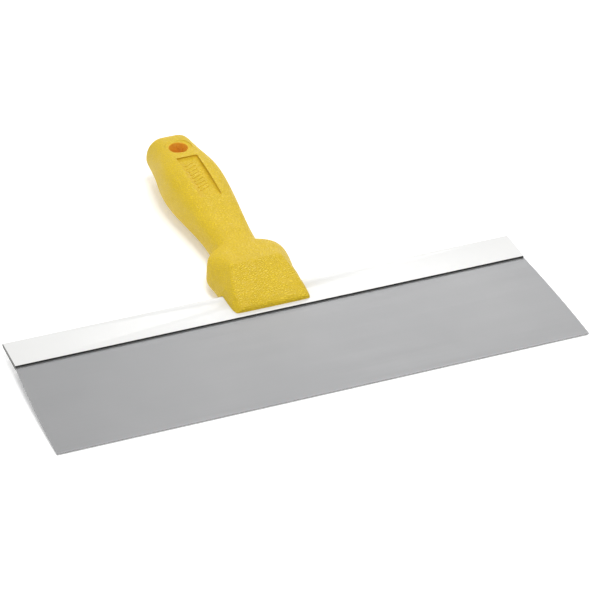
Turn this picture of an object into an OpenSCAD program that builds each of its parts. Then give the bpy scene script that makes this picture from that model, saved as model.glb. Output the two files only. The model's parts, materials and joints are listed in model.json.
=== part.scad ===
// Drywall taping knife. A wide spring-steel blade is gripped in a folded metal back rail, and the
// head of a moulded two-part handle clamps over the middle of that rail.
//
// The knife is drawn in its own working frame first: X runs along the blade, Y = 0 is the front
// edge of the rail, +Y points to the butt of the handle, and Z = 0 is the top face of the rail.
// on_bench() then lays the whole knife down, so that the working edge and the belly of the grip
// both touch Z = 0 and the origin is at the middle of the base.

/* [Blade] */
// Length of the working edge
blade_l = 254; // [200:1:356]
// Depth of blade that shows in front of the rail
blade_reach = 65; // [45:1:90]
// Thickness of the blade sheet
blade_t = 0.5; // [0.4:0.05:0.8]
// How far each end of the blade spreads between the rail and the working edge
blade_flare = 2.3; // [0:0.1:6]
// Angle by which the blade hangs below the plane of the rail, in degrees
blade_droop = 1; // [0:0.25:3]
// Width of the bevel ground under the working edge
bevel_w = 1.2; // [0.5:0.1:3]
// Thickness left at the working edge
edge_t = 0.3; // [0.2:0.05:0.4]

/* [Rail] */
// Width of the folded rail, front to back
rail_w = 19; // [14:0.5:26]
// Thickness of the rail's sheet
rail_t = 0.8; // [0.5:0.1:1.2]
// How much shorter the rail is than the working edge, at each end
rail_short = 2.3; // [0:0.1:8]
// Gap between the hidden edge of the blade and the fold of the rail
fold_gap = 1.2; // [0.5:0.1:2]

/* [Handle head] */
// Width of the jaw that laps the rail
jaw_w = 38.4; // [30:0.2:48]
// Strip of rail left bare in front of the jaw
jaw_setback = 2.9; // [1:0.1:6]
// Height of the jaw's front lip
jaw_lip = 1.4; // [1:0.1:3]
// Width of the head behind the rail
head_w = 40.6; // [36:0.2:54]
// Distance of the ridge behind the rail
ridge_back = 7.2; // [4:0.1:12]
// Height of the ridge above the rail
ridge_h = 11.3; // [9:0.1:16]
// Depth of the head and jaw below the rail's top face
head_drop = 5.4; // [5:0.1:6]

/* [Grip] */
// Distance from the back of the rail to the butt of the handle
grip_l = 124.8; // [100:0.1:160]
// Width of the neck
neck_w = 20.2; // [16:0.1:26]
// Width of the palm swell
palm_w = 31; // [26:0.5:38]
// Width of the grip across the hang hole
butt_w = 26.8; // [22:0.2:34]
// Height of the neck above the rail's top face
neck_top = 6.4; // [5:0.1:9]
// Height of the palm swell above the rail's top face
palm_top = 13; // [10:0.1:17]
// Depth of the belly below the rail's top face
belly_drop = 9.6; // [8:0.1:14]

/* [Hang hole and label] */
// Diameter of the hang hole
hang_d = 9; // [6:0.5:12]
// Distance of the hang hole from the butt
hang_setback = 15; // [13:0.1:20]
// Diameter of the shallow rim sunk around the hang hole
rim_d = 13.6; // [12.5:0.1:16]
// Depth of the rim
rim_depth = 0.4; // [0.2:0.1:1]
// Width of the sunk label panel
label_w = 10.6; // [6:0.2:14]
// Length of the label panel
label_l = 34; // [20:1:44]
// Depth of the label panel
label_depth = 1.1; // [0.3:0.1:1.4]
// Distance from the hang hole's centre to the label panel
label_gap = 11.3; // [8:0.1:16]

/* [Screws] */
// Number of screws through the jaw and the rail
jaw_screws_n = 3; // [2:1:4]
// Spacing of the jaw screws
jaw_screw_pitch = 12; // [8:0.5:14]
// Diameter of a screw's shank
screw_d = 3.5; // [3:0.1:4]
// Diameter of a screw's head
screw_head_d = 6.6; // [6:0.1:8]
// Height of a screw's head
screw_head_h = 1.7; // [1.4:0.1:1.8]
// Radial clearance around a screw's shank and head in the pieces it passes through
screw_clear = 0.25; // [0.1:0.05:0.5]
// How far a screw's head is sunk below the plastic around it
screw_sink = 0.3; // [0.1:0.1:1]
// Length of thread that bites into the shell above the rail
jaw_screw_bite = 3.4; // [2.5:0.1:4]

/* [Fits] */
// Gap between the handle's plastic and the rail behind it, and around the base
part_gap = 0.2; // [0.1:0.05:0.4]

/* [Hidden] */
$fn = 48;

steel_colour = "#a9aaac";
rail_colour = "#f2f2ee";
grip_colour = "#e0bd3c";
screw_colour = "#b8b8ba";

far = 400;                                 // longer than anything it has to cut
stack_t = 2 * rail_t + blade_t;            // outer thickness of the closed rail
rail_l = blade_l - 2 * rail_short;
fold_y = rail_w - stack_t / 2;             // centre of the rounded fold along the rail's back
blade_in = rail_w - rail_t - fold_gap;     // how deep the blade goes into the rail
screw_margin = 1;                          // room between the screw heads and the blade's hidden edge
screw_y = blade_in - screw_head_d / 2 - screw_margin;  // row of the jaw screws
butt_y = rail_w + grip_l;
ridge_y = rail_w + ridge_back;
hang_y = butt_y - hang_setback;
neck_back = 25;                            // from the ridge to the narrowest part of the neck
neck_y = ridge_y + neck_back;
palm_setback = 34;                         // from the butt to the thickest part of the palm swell
palm_y = butt_y - palm_setback;

// ---- outline of the handle along its length: [y, value] stations, blended smoothly ----
shoulder_y = ridge_y + 20;                 // back of the head, where it drops into the neck
half_widths = [
    [jaw_setback, jaw_w / 2 - 1.9], [jaw_setback + 1.5, jaw_w / 2 - 0.8], [jaw_setback + 4, jaw_w / 2 - 0.4],
    [rail_w - 1.2, jaw_w / 2], [rail_w - 0.6, head_w / 2 - 0.1], [rail_w + 4, head_w / 2],
    [ridge_y + 4, head_w / 2 - 0.2], [ridge_y + 10, head_w / 2 - 0.8], [shoulder_y - 5, head_w / 2 - 1.8],
    [shoulder_y - 2.5, head_w / 2 - 3.2], [shoulder_y - 0.5, head_w / 2 - 5.8],
    [shoulder_y + 1, neck_w / 2 + 1.6], [shoulder_y + 3, neck_w / 2 + 0.2],
    [shoulder_y + 5, neck_w / 2], [neck_y + 3, neck_w / 2 + 0.3],
    [(neck_y + palm_y) / 2, (neck_w + palm_w) / 4 + 0.3],
    [palm_y - 13, palm_w / 2 - 0.6], [palm_y - 2, palm_w / 2], [palm_y + 8, palm_w / 2 - 0.8],
    [hang_y, butt_w / 2], [butt_y, butt_w / 2 - 0.3]
];
tops = [
    [jaw_setback, jaw_lip], [jaw_setback + 1.2, jaw_lip + 0.9], [ridge_y - 4, ridge_h - 1.6],
    [ridge_y, ridge_h], [ridge_y + 5, ridge_h - 1.1], [shoulder_y - 3, neck_top + 1.2],
    [neck_y, neck_top], [(neck_y + palm_y) / 2, (neck_top + palm_top) / 2 + 0.2], [palm_y, palm_top],
    [hang_y, palm_top - 0.8], [butt_y, palm_top - 2.6]
];
bottoms = [
    [jaw_setback, head_drop - 1.2], [jaw_setback + 4, head_drop - 0.4], [rail_w, head_drop],
    [ridge_y + 10, head_drop], [neck_y, head_drop + 0.4], [palm_y - 4, belly_drop],
    [hang_y, belly_drop - 1.2], [butt_y, belly_drop - 2.4]
];
// squareness of a section's corners, and how much its sides lean in towards the top
corners = [[jaw_setback, 3.4], [ridge_y, 3.1], [shoulder_y - 3, 3.1], [neck_y, 2.6], [butt_y, 2.6]];
leans = [
    [jaw_setback, 0.02], [jaw_setback + 8, 0.14], [rail_w - 1.2, 0.2], [rail_w + 1, 0.33],
    [ridge_y, 0.32], [ridge_y + 10, 0.12], [shoulder_y - 2, 0.06], [neck_y, 0.04], [palm_y, 0.06],
    [hang_y, 0.1], [butt_y, 0.26]
];
butt_round = 7;       // radius of the butt seen from above
butt_edge = 5.6;      // radius of the butt's upper edge, seen from the side
butt_foot = 3.4;      // radius of the butt's lower edge
mid_z = 0.6;          // height of the widest line of every section

function slope(t, i) = let (a = max(i - 1, 0), b = min(i + 1, len(t) - 1))
    (t[b][1] - t[a][1]) / (t[b][0] - t[a][0]);
function station(t, y, i = 0) = i >= len(t) - 2 || y <= t[i + 1][0] ? i : station(t, y, i + 1);
function blend(t, y) = let (
        i = station(t, y), h = t[i + 1][0] - t[i][0], u = min(max((y - t[i][0]) / h, 0), 1),
        m0 = slope(t, i) * h, m1 = slope(t, i + 1) * h)
    (2 * u * u * u - 3 * u * u + 1) * t[i][1] + (u * u * u - 2 * u * u + u) * m0
    + (3 * u * u - 2 * u * u * u) * t[i + 1][1] + (u * u * u - u * u) * m1;

// a radius r eats this much off an outline at distance d from its end
function end_cut(r, d) = d >= r ? 0 : r - sqrt(max(r * r - (r - d) * (r - d), 0));
function width_at(y) = blend(half_widths, y) - end_cut(butt_round, butt_y - y);
function top_at(y) = blend(tops, y) - end_cut(butt_edge, butt_y - y);
function bottom_at(y) = -blend(bottoms, y) + end_cut(butt_foot, butt_y - y);

// ---- rings of points that make the handle's skin ----
ring_n = 36;
butt_n = 8;
spans = [
    [jaw_setback, jaw_setback + 1.5, 3], [jaw_setback + 1.5, rail_w - 1.2, 5],
    [rail_w - 1.2, rail_w - 0.6, 1], [rail_w - 0.6, shoulder_y - 6, 8], [shoulder_y - 6, shoulder_y + 5, 10],
    [shoulder_y + 5, butt_y - butt_round, 24]
];
ring_ys = concat(
    [for (s = spans) for (i = [0 : s[2] - 1]) s[0] + (s[1] - s[0]) * i / s[2]],
    [for (i = [0 : butt_n]) butt_y - butt_round * (1 - sin(90 * i / (butt_n + 0.5)))]);

function round_off(c, n) = sign(c) * pow(abs(c), 2 / n);
function ring(y) = let (
        w = width_at(y), up = top_at(y) - mid_z, down = mid_z - bottom_at(y),
        n = blend(corners, y), lean = blend(leans, y))
    [for (i = [0 : ring_n - 1]) let (
            a = 360 * i / ring_n, x = round_off(cos(a), n), z = round_off(sin(a), n))
        [w * x * (1 - lean * max(z, 0)), y, mid_z + (z > 0 ? up : down) * z]];

module skin() {
    rings = [for (y = ring_ys) ring(y)];
    last = len(rings) - 1;
    sides = [for (r = [0 : last - 1]) for (i = [0 : ring_n - 1]) let (j = (i + 1) % ring_n)
        [[r * ring_n + i, r * ring_n + j, (r + 1) * ring_n + j],
         [r * ring_n + i, (r + 1) * ring_n + j, (r + 1) * ring_n + i]]];
    polyhedron(
        points = [for (r = rings) for (p = r) p],
        faces = concat(
            [[for (i = [ring_n - 1 : -1 : 0]) i]],
            [for (pair = sides) for (f = pair) f],
            [[for (i = [0 : ring_n - 1]) last * ring_n + i]]));
}

// ---- how the knife lies on a bench ----
dip = tan(blade_droop);
bevel_y = bevel_w - blade_reach;           // where the bevel starts, which is what touches the bench
edge_y = bevel_y;
edge_z = -rail_t - blade_t + bevel_y * dip;
lie_angle = max([for (y = ring_ys) atan2(edge_z - bottom_at(y), y - edge_y)]);
lie_back = (butt_y - blade_reach) * cos(lie_angle) / 2;
lie_up = -(edge_y * sin(lie_angle) + edge_z * cos(lie_angle));

module on_bench() {
    translate([0, -lie_back, lie_up]) rotate([lie_angle, 0, 0]) children();
}

// ---- blade ----
// half the blade's length at distance d in front of the rail
function blade_half(d) = blade_l / 2 - blade_flare * pow(1 - d / blade_reach, 2);

module blade_outline() {
    steps = 12;
    side_in = 0.5;    // how far the hidden part stands in from the rail's ends
    past = 2;         // the outline runs past the working edge, which the section ends
    side = [for (i = [0 : steps]) let (d = blade_reach * i / steps) [blade_half(d), -d]];
    back = [[rail_l / 2 - side_in, 0], [rail_l / 2 - side_in, blade_in]];
    polygon(concat(
        [for (p = side) p], [[blade_half(blade_reach), -blade_reach - past]],
        [[-blade_half(blade_reach), -blade_reach - past]],
        [for (i = [steps : -1 : 0]) [-side[i][0], side[i][1]]],
        [[-back[0][0], 0], [-back[1][0], blade_in], [back[1][0], blade_in], [back[0][0], 0]]));
}

module blade_section() {
    tip_z = -rail_t - blade_reach * dip;
    polygon([
        [blade_in, -rail_t], [0, -rail_t], [-blade_reach, tip_z], [-blade_reach, tip_z - edge_t],
        [bevel_y, edge_z], [0, -rail_t - blade_t], [blade_in, -rail_t - blade_t]]);
}

// runs a section drawn as [y, z] along X, centred
module along_x(length) {
    rotate([90, 0, 90]) translate([0, 0, -length / 2]) linear_extrude(length) children();
}

module jaw_screw_places() {
    for (i = [0 : jaw_screws_n - 1])
        translate([(i - (jaw_screws_n - 1) / 2) * jaw_screw_pitch, screw_y, 0]) children();
}

module blade() {
    color(steel_colour) on_bench() difference() {
        intersection() {
            along_x(blade_l + 10) blade_section();
            translate([0, 0, -20]) linear_extrude(40) blade_outline();
        }
        jaw_screw_places() translate([0, 0, -10]) cylinder(h = 20, d = screw_d + 2 * screw_clear);
    }
}

// ---- rail ----
module rail_section() {
    difference() {
        union() {
            translate([0, -stack_t]) square([rail_w - stack_t / 2, stack_t]);
            translate([rail_w - stack_t / 2, -stack_t / 2]) circle(d = stack_t);
        }
        translate([-1, -rail_t - blade_t]) square([fold_y + 1, blade_t]);
        translate([fold_y, -rail_t - blade_t / 2]) circle(d = blade_t);
    }
}

module back_rail() {
    color(rail_colour) on_bench() difference() {
        along_x(rail_l) rail_section();
        jaw_screw_places() translate([0, 0, -10]) cylinder(h = 20, d = screw_d + 2 * screw_clear);
    }
}

// ---- screws ----
// bottom of the base at a screw, and the face that its head bears on
function seat_at(y) = bottom_at(y) + screw_sink + screw_head_h;

module screw(seat, tip) {
    cross_w = 0.9;
    cross_depth = 0.9;
    point = 1.2;
    low = seat - screw_head_h;
    difference() {
        rotate_extrude() polygon([
            [0, low], [screw_head_d / 2 - 0.5, low], [screw_head_d / 2, low + 0.5], [screw_head_d / 2, seat],
            [screw_d / 2, seat], [screw_d / 2, tip - point], [screw_d / 4, tip], [0, tip]]);
        for (turn = [0, 90]) rotate([0, 0, turn])
            translate([-screw_head_d * 0.3, -cross_w / 2, low - 1])
                cube([screw_head_d * 0.6, cross_w, 1 + cross_depth]);
    }
}

// the hole for a screw through the base: clearance for the shank and a pocket for the head
module screw_way(y) {
    translate([0, 0, seat_at(y) - 1]) cylinder(h = far, d = screw_d + 2 * screw_clear);
    translate([0, 0, seat_at(y) - far]) cylinder(h = far, d = screw_head_d + 2 * screw_clear);
}

module jaw_screws() {
    color(screw_colour) on_bench() jaw_screw_places() screw(seat_at(screw_y), jaw_screw_bite);
}

// ---- handle ----
base_end_y = hang_y - rim_d / 2 - 10;      // butt end of the base
base_top = -stack_t;                       // the base bears on the underside of the rail
head_in = head_w / 2 - 6;                  // half-widths of the base in the head, neck and palm
neck_in = neck_w / 2 - 3.4;
palm_in = palm_w / 2 - 3.8;
ledge = 1.6;                               // width of the ledge that the base sits against
skin_t = 3.2;                              // thickness of the shell over the hollow
front_screw_y = ridge_y + 8;
rear_screw_y = palm_y - 6;
front_bite = 5;                            // how far the grip screws reach above the rail's top face
rear_bite = 6;
boss_d = screw_d + 4;
jaw_side = 0.4;                            // how far the lower jaw stands in at each side,
jaw_front = 1;                             // at its front, behind the upper jaw's lip,
jaw_back = 2;                              // and in front of the rail's back, where the base widens

// outline of the base behind the rail, seen from above, grown by g on every side
module base_plan(g = 0) {
    side = [
        [head_in + g, rail_w - 4], [head_in + g, ridge_y + 5], [neck_in + g, neck_y - 9 + g],
        [neck_in + g, neck_y + 4], [palm_in + g, palm_y - 16 - g], [palm_in + g, base_end_y - palm_in]
    ];
    last = len(side) - 1;
    polygon(concat(side, [for (i = [last : -1 : 0]) [-side[i][0], side[i][1]]]));
    translate([0, base_end_y - palm_in]) circle(r = palm_in + g);
}

module hollow() {
    start = neck_y + 8;
    end = base_end_y - 3;
    roof = palm_top - skin_t;
    difference() {
        intersection() {
            translate([0, 0, -far]) linear_extrude(2 * far) base_plan(-ledge);
            along_x(palm_w) polygon([
                [start, -far], [start, neck_top - skin_t], [palm_y - 6, roof], [end, roof], [end, -far]]);
        }
        translate([0, rear_screw_y, base_top + part_gap]) cylinder(h = far, d = boss_d);
    }
}

module label_panel() {
    back = hang_y - label_gap;
    front = back - label_l;
    back_z = top_at(back) - label_depth;
    front_z = top_at(front) - label_depth * 0.2;
    tilt = atan2(back_z - front_z, label_l);
    translate([-label_w / 2, front, front_z]) rotate([tilt, 0, 0]) cube([label_w, label_l, far]);
}

module hang_hole() {
    translate([0, hang_y, -far]) cylinder(h = 2 * far, d = hang_d);
    translate([0, hang_y, top_at(hang_y) - rim_depth]) cylinder(h = far, d = rim_d);
}

module handle_shell() {
    color(grip_colour) on_bench() difference() {
        skin();
        translate([-far / 2, -far, -far]) cube([far, far + rail_w + part_gap, far]);
        translate([0, 0, base_top + part_gap - far]) linear_extrude(far) base_plan(part_gap);
        hollow();
        hang_hole();
        label_panel();
        jaw_screw_places() translate([0, 0, -1]) cylinder(h = jaw_screw_bite + 1, d = screw_d);
        translate([0, front_screw_y, -far]) cylinder(h = far + front_bite, d = screw_d);
        translate([0, rear_screw_y, -far]) cylinder(h = far + rear_bite, d = screw_d);
    }
}

module handle_base() {
    color(grip_colour) on_bench() difference() {
        intersection() {
            skin();
            translate([0, 0, base_top - far]) linear_extrude(far) union() {
                base_plan();
                translate([jaw_side - jaw_w / 2, jaw_setback + jaw_front])
                    square([jaw_w - 2 * jaw_side, rail_w - jaw_setback - jaw_front - jaw_back]);
            }
        }
        jaw_screw_places() screw_way(screw_y);
        translate([0, front_screw_y, 0]) screw_way(front_screw_y);
        translate([0, rear_screw_y, 0]) screw_way(rear_screw_y);
    }
}

module grip_screws() {
    color(screw_colour) on_bench() {
        translate([0, front_screw_y, 0]) screw(seat_at(front_screw_y), front_bite);
        translate([0, rear_screw_y, 0]) screw(seat_at(rear_screw_y), rear_bite);
    }
}

blade();
back_rail();
handle_shell();
handle_base();
jaw_screws();
grip_screws();
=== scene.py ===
# %% [markdown]
# A drywall taping knife: a wide sheet of spring steel held in a folded white rail, with a moulded
# yellow handle clamped over the middle of the rail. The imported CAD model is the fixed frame, and every
# piece made here is laid into that frame, so that it lies where its CAD part lies.

import json
from math import cos, degrees, pi, radians, sin, tan

import bmesh
import bpy
from mathutils import Matrix, Vector


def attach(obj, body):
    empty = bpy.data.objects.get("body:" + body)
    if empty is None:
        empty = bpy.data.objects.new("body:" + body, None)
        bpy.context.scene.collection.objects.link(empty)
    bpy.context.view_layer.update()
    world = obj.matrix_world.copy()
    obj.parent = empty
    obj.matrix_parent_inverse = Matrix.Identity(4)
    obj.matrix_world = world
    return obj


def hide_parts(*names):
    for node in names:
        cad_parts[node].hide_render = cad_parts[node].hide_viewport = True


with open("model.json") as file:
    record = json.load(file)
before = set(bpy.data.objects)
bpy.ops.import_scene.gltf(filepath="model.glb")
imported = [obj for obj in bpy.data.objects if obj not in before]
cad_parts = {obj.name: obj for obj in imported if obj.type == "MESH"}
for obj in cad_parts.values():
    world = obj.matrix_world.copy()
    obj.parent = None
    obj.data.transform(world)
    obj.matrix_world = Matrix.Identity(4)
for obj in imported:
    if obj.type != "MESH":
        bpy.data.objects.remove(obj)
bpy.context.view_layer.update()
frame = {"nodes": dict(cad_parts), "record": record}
MM = 0.001

# %% [markdown]
# The knife is easiest to draw in its own working frame, in millimetres: X along the blade, Y = 0 at
# the rail's front edge and growing towards the butt, Z = 0 on the rail's top face. On the bench the
# whole knife is tipped up by a small angle until its working edge and its belly touch. The hang hole's
# axis in the record gives that angle, and its place gives the shift.

# %% From the knife's own frame to the bench
RAIL_W = 19.0            # rail, front to back
RAIL_T = 0.8             # sheet of the rail
BLADE_T = 0.5            # sheet of the blade
STACK_T = 2 * RAIL_T + BLADE_T
HOLE_Y = 128.8           # centre of the hang hole
HOLE_MID_Z = 1.7         # height at which the record states the hole's place

hole = next(m for m in frame["record"]["mounts"] if m["name"] == "hang_hole")
tip_angle = -Vector((0, 1)).angle_signed(Vector(hole["axis"]).yz)
tip = Matrix.Rotation(tip_angle, 4, "X")
shift = Vector(hole["pos_m"]) - tip @ Vector((0, HOLE_Y * MM, HOLE_MID_Z * MM))
TO_BENCH = Matrix.Translation(shift) @ tip
print("tip angle:", round(degrees(tip_angle), 3), "shift in mm:", [round(v / MM, 2) for v in shift])

# %% [markdown]
# The camera comes first, because everything is judged through it. It stands in front of the knife, to
# its left, and looks down at about a third of a right angle. It is far away with a long lens, so that
# the blade and the rail keep almost parallel edges. A short lens close by would make the near corner
# of the blade look much bigger than the far one.

# %% Camera
SENSOR_MM = 36.0
LENS_MM = 197.9
CAMERA_PLACE = (-0.4579, -1.1977, 0.8037)
LOOK_DOWN = 32.411       # degrees below the horizon
LOOK_RIGHT = 21.964      # degrees to the right of straight ahead

cam_data = bpy.data.cameras.new("camera")
cam_data.sensor_width = SENSOR_MM
cam_data.lens = LENS_MM
camera = bpy.data.objects.new("camera", cam_data)
camera.location = CAMERA_PLACE
camera.rotation_euler = (radians(90 - LOOK_DOWN), 0, radians(-LOOK_RIGHT))
bpy.context.scene.collection.objects.link(camera)
bpy.context.scene.camera = camera
print("camera", [round(v, 3) for v in camera.location], "lens", round(cam_data.lens, 1))

# %% [markdown]
# Modelling in code repeats the moves of modelling by hand: select one piece, add a modifier, apply it,
# apply its place. Blender's operators act on whatever is selected, so each move has a small helper that
# first selects exactly what it should act on.

# %% Small helpers for modelling by hand
def deselect_all():
    """Leaves object mode with nothing selected, since operators act on all that is selected."""
    if bpy.context.object and bpy.context.object.mode != "OBJECT":
        bpy.ops.object.mode_set(mode="OBJECT")
    bpy.ops.object.select_all(action="DESELECT")


def only(piece):
    """Makes one piece the selected and active object."""
    deselect_all()
    piece.select_set(True)
    bpy.context.view_layer.objects.active = piece


def name_active(name):
    """Names the active object and its mesh."""
    piece = bpy.context.object
    piece.name = name
    piece.data.name = name
    return piece


def apply_place(piece):
    """Moves the object's place, turn and scale into its mesh."""
    only(piece)
    bpy.ops.object.transform_apply(location=True, rotation=True, scale=True)


def finish_modifier(piece, kind, **settings):
    """Adds a modifier, sets it up and applies it."""
    only(piece)
    modifier = piece.modifiers.new(kind.title(), kind)
    for key, value in settings.items():
        setattr(modifier, key, value)
    bpy.ops.object.modifier_apply(modifier=modifier.name)


def cut(piece, tool, how="DIFFERENCE"):
    """Cuts, joins or intersects a piece with a closed tool, which is then thrown away."""
    finish_modifier(piece, "BOOLEAN", object=tool, operation=how, solver="EXACT")
    bpy.data.objects.remove(tool)


def copy_of(piece, name):
    """A second piece with a mesh of its own."""
    twin = piece.copy()
    twin.data = piece.data.copy()
    twin.name = twin.data.name = name
    bpy.context.scene.collection.objects.link(twin)
    return twin


def to_bench(piece):
    """Lays a finished piece on the bench, with its place in its mesh."""
    piece.data.transform(TO_BENCH)
    piece.data.update()


def report_piece(piece):
    """Prints a piece's faces and its lowest and highest corner, in mm."""
    low = [round(min(v.co[i] for v in piece.data.vertices) / MM, 1) for i in range(3)]
    high = [round(max(v.co[i] for v in piece.data.vertices) / MM, 1) for i in range(3)]
    print(piece.name, len(piece.data.polygons), "faces, mm:", low, high)


print("helpers ready")

# %% [markdown]
# The handle is one flowing moulding: a thin jaw over the rail, a wedge that climbs to a ridge,
# shoulders that drop into a narrow neck, then an oval grip that swells under the palm and ends in a
# round butt. A loft suits it: a ring of sixteen points is extruded along the knife, and at each
# station the new ring is given that station's width, height and corner. Subdivision then rounds it.

# %% Stations of the handle
# Each station, in mm: y, half-width, top, half-width of the flat top, where the slope between the
# flat and the side stands (out, up), height of the widest line, and bottom. The last number is how far
# out the bottom corner is, as a share of the half-width.
STATIONS = [
    (2.9, 17.0, 0.8, 14.7, 16.2, 0.5, -0.4, -4.0, 0.80),
    (3.2, 18.1, 1.8, 15.6, 17.4, 1.0, -0.4, -4.3, 0.84),
    (4.8, 19.1, 2.9, 16.2, 18.2, 1.5, -0.5, -4.7, 0.86),
    (11.0, 19.4, 5.4, 15.9, 18.4, 2.9, -0.6, -5.3, 0.88),
    (18.0, 19.5, 8.2, 14.9, 18.0, 4.1, -0.8, -5.5, 0.88),
    (18.5, 19.6, 8.4, 14.8, 18.0, 4.2, -0.9, -5.5, 0.88),
    (18.9, 20.2, 8.6, 14.7, 18.1, 4.3, -1.0, -5.5, 0.88),
    (22.5, 20.3, 10.1, 13.7, 17.7, 4.9, -1.0, -5.5, 0.88),
    (25.6, 20.3, 11.4, 12.8, 17.5, 5.9, -1.0, -5.5, 0.88),
    (27.0, 20.3, 11.5, 12.6, 17.6, 6.2, -1.0, -5.5, 0.88),
    (31.0, 20.8, 10.7, 12.9, 18.6, 6.4, -1.0, -5.5, 0.88),
    (36.0, 21.2, 9.8, 13.3, 19.5, 6.5, -1.0, -5.6, 0.88),
    (41.0, 18.0, 9.0, 13.6, 19.6, 6.3, -0.8, -5.7, 0.86),
    (44.2, 13.6, 8.4, 13.0, 17.0, 6.1, -0.6, -5.7, 0.84),
    (46.2, 11.6, 8.0, 10.8, 13.9, 5.7, -0.4, -5.8, 0.84),
    (47.6, 11.4, 7.7, 8.6, 12.2, 5.3, -0.2, -5.8, 0.84),
    (49.2, 11.8, 7.5, 6.2, 10.0, 5.2, 0.1, -5.8, 0.86),
    (53.0, 11.8, 7.5, 5.8, 9.8, 5.5, 0.4, -5.8, 0.86),
    (60.0, 11.6, 8.2, 5.9, 10.2, 6.1, 1.0, -6.1, 0.79),
    (72.0, 12.4, 9.8, 6.5, 11.5, 7.4, 1.4, -6.9, 0.72),
    (84.0, 13.9, 11.4, 7.1, 12.7, 8.7, 1.6, -8.1, 0.70),
    (96.0, 15.1, 12.7, 7.5, 13.6, 9.8, 1.6, -9.4, 0.70),
    (107.0, 15.8, 13.5, 7.6, 14.3, 10.4, 1.5, -9.8, 0.71),
    (117.0, 15.0, 13.3, 7.5, 13.6, 10.2, 1.6, -8.9, 0.71),
    (126.0, 13.4, 12.7, 7.3, 11.6, 9.1, 1.7, -7.3, 0.71),
    (133.5, 12.8, 11.9, 7.0, 10.8, 8.2, 1.7, -6.9, 0.71),
    (139.2, 12.6, 11.1, 6.7, 10.5, 7.5, 1.6, -6.5, 0.71),
    (142.2, 12.2, 10.3, 6.4, 10.6, 7.2, 1.6, -5.8, 0.71),
    (143.7, 11.0, 8.9, 5.6, 9.6, 6.2, 1.5, -4.5, 0.71),
]
print(len(STATIONS), "stations from y =", STATIONS[0][0], "to", STATIONS[-1][0], "mm")

# %% Loft the rings
RING_N = 16              # points in a ring
FLAT_DROP = 0.12         # the flat's edge lies this far below its middle
BUTT_INSET = 2.2         # the butt's end face is inset by this much
BUTT_PUSH = 0.25         # and pushed out by this much, so that it is slightly domed


def section_points(half, top, flat, slope_out, slope_up, mid, bottom, tuck):
    """The right half of a section, from the middle of the top to the middle of the bottom."""
    depth = mid - bottom
    upper = [(0, top), (flat * 0.55, top), (flat, top - FLAT_DROP), (slope_out, slope_up), (half, mid)]
    lower = [(half * 0.985, mid - depth * 0.55), (half * tuck, bottom + depth * 0.1), (half * 0.45, bottom)]
    return upper + lower + [(0, bottom)]


def set_ring(mesh, ring, station):
    """Puts a ring's points, in order round the ring from +X, in their places."""
    y, *sizes = station
    half = section_points(*sizes)
    for i, point in enumerate(ring):
        step = (i - RING_N // 4) % RING_N
        side = -1 if 0 < step < RING_N // 2 else 1
        x, z = half[min(step, RING_N - step)]
        point.co = Vector((side * x, y, z)) * MM
    bmesh.update_edit_mesh(mesh)


def turn_from_x(vert):
    """A point's turn round Y, counted from +X."""
    return Vector((vert.co.x, vert.co.z)).angle_signed(Vector((1, 0))) % (2 * pi)


def loft_handle():
    """Extrudes the ring from station to station and closes both ends."""
    deselect_all()
    bpy.ops.mesh.primitive_circle_add(vertices=RING_N, radius=10 * MM, fill_type="NGON",
                                      rotation=(pi / 2, 0, 0))
    piece = name_active("handle_skin")
    apply_place(piece)
    bpy.ops.object.mode_set(mode="EDIT")
    mesh = piece.data
    shape = bmesh.from_edit_mesh(mesh)
    ring = sorted(shape.verts, key=turn_from_x)
    ring = [ring[0]] + ring[:0:-1] if ring[1].co.z < 0 else ring
    set_ring(mesh, ring, STATIONS[0])
    for last, station in zip(STATIONS, STATIONS[1:]):
        step = (station[0] - last[0]) * MM
        bpy.ops.mesh.extrude_region_move(TRANSFORM_OT_translate={"value": (0, step, 0)})
        new = [v for v in shape.verts if v.select]
        ring = [min(new, key=lambda v: (v.co - old.co).xz.length) for old in ring]
        set_ring(mesh, ring, station)
    bpy.ops.mesh.inset(thickness=BUTT_INSET * MM)
    bpy.ops.transform.translate(value=(0, BUTT_PUSH * MM, 0))
    bpy.ops.mesh.select_all(action="SELECT")
    bpy.ops.mesh.normals_make_consistent(inside=False)
    bpy.ops.object.mode_set(mode="OBJECT")
    return piece


skin = loft_handle()
report_piece(skin)

# %% [markdown]
# Subdivision alone would melt the jaw and the ridge into soap. A crease weight tells it how tightly
# to hold an edge: firm along the two long edges of the wedge, lighter over the ridge, and none on the
# grip, which stays round in the hand.

# %% Crease the edges of the head
HEAD_END_Y = 42.0        # the head's flat top fades out here
RIDGE_YS = (25.6, 27.0)  # the two stations of the ridge
RIDGE_LOW_Z = 11.0       # the ridge's crest lies above this
WEDGE_CREASE, RIDGE_CREASE = 0.42, 0.12
SAME = 0.05              # places closer than this count as the same, in mm


def crease_edges(piece, weight, wanted):
    """Gives a crease weight to each edge whose two ends, in mm, satisfy the test."""
    only(piece)
    bpy.ops.object.mode_set(mode="EDIT")
    bpy.ops.mesh.select_mode(type="EDGE")
    bpy.ops.mesh.select_all(action="DESELECT")
    shape = bmesh.from_edit_mesh(piece.data)
    count = 0
    for edge in shape.edges:
        if wanted(*[v.co / MM for v in edge.verts]):
            edge.select_set(True)
            count += 1
    bpy.ops.transform.edge_crease(value=weight)
    bpy.ops.mesh.select_mode(type="VERT")
    bpy.ops.object.mode_set(mode="OBJECT")
    return count


def along_flat_edge(a, b):
    """True for the lengthwise edges between the flat top and the slopes of the head."""
    lengthwise = abs(a.y - b.y) > 2 * SAME
    flats = {s[0]: s[3] for s in STATIONS}
    on_flat = all(abs(abs(p.x) - flats.get(round(p.y, 1), -99)) < SAME and p.z > 0 for p in (a, b))
    return lengthwise and on_flat and max(a.y, b.y) < HEAD_END_Y


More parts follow.
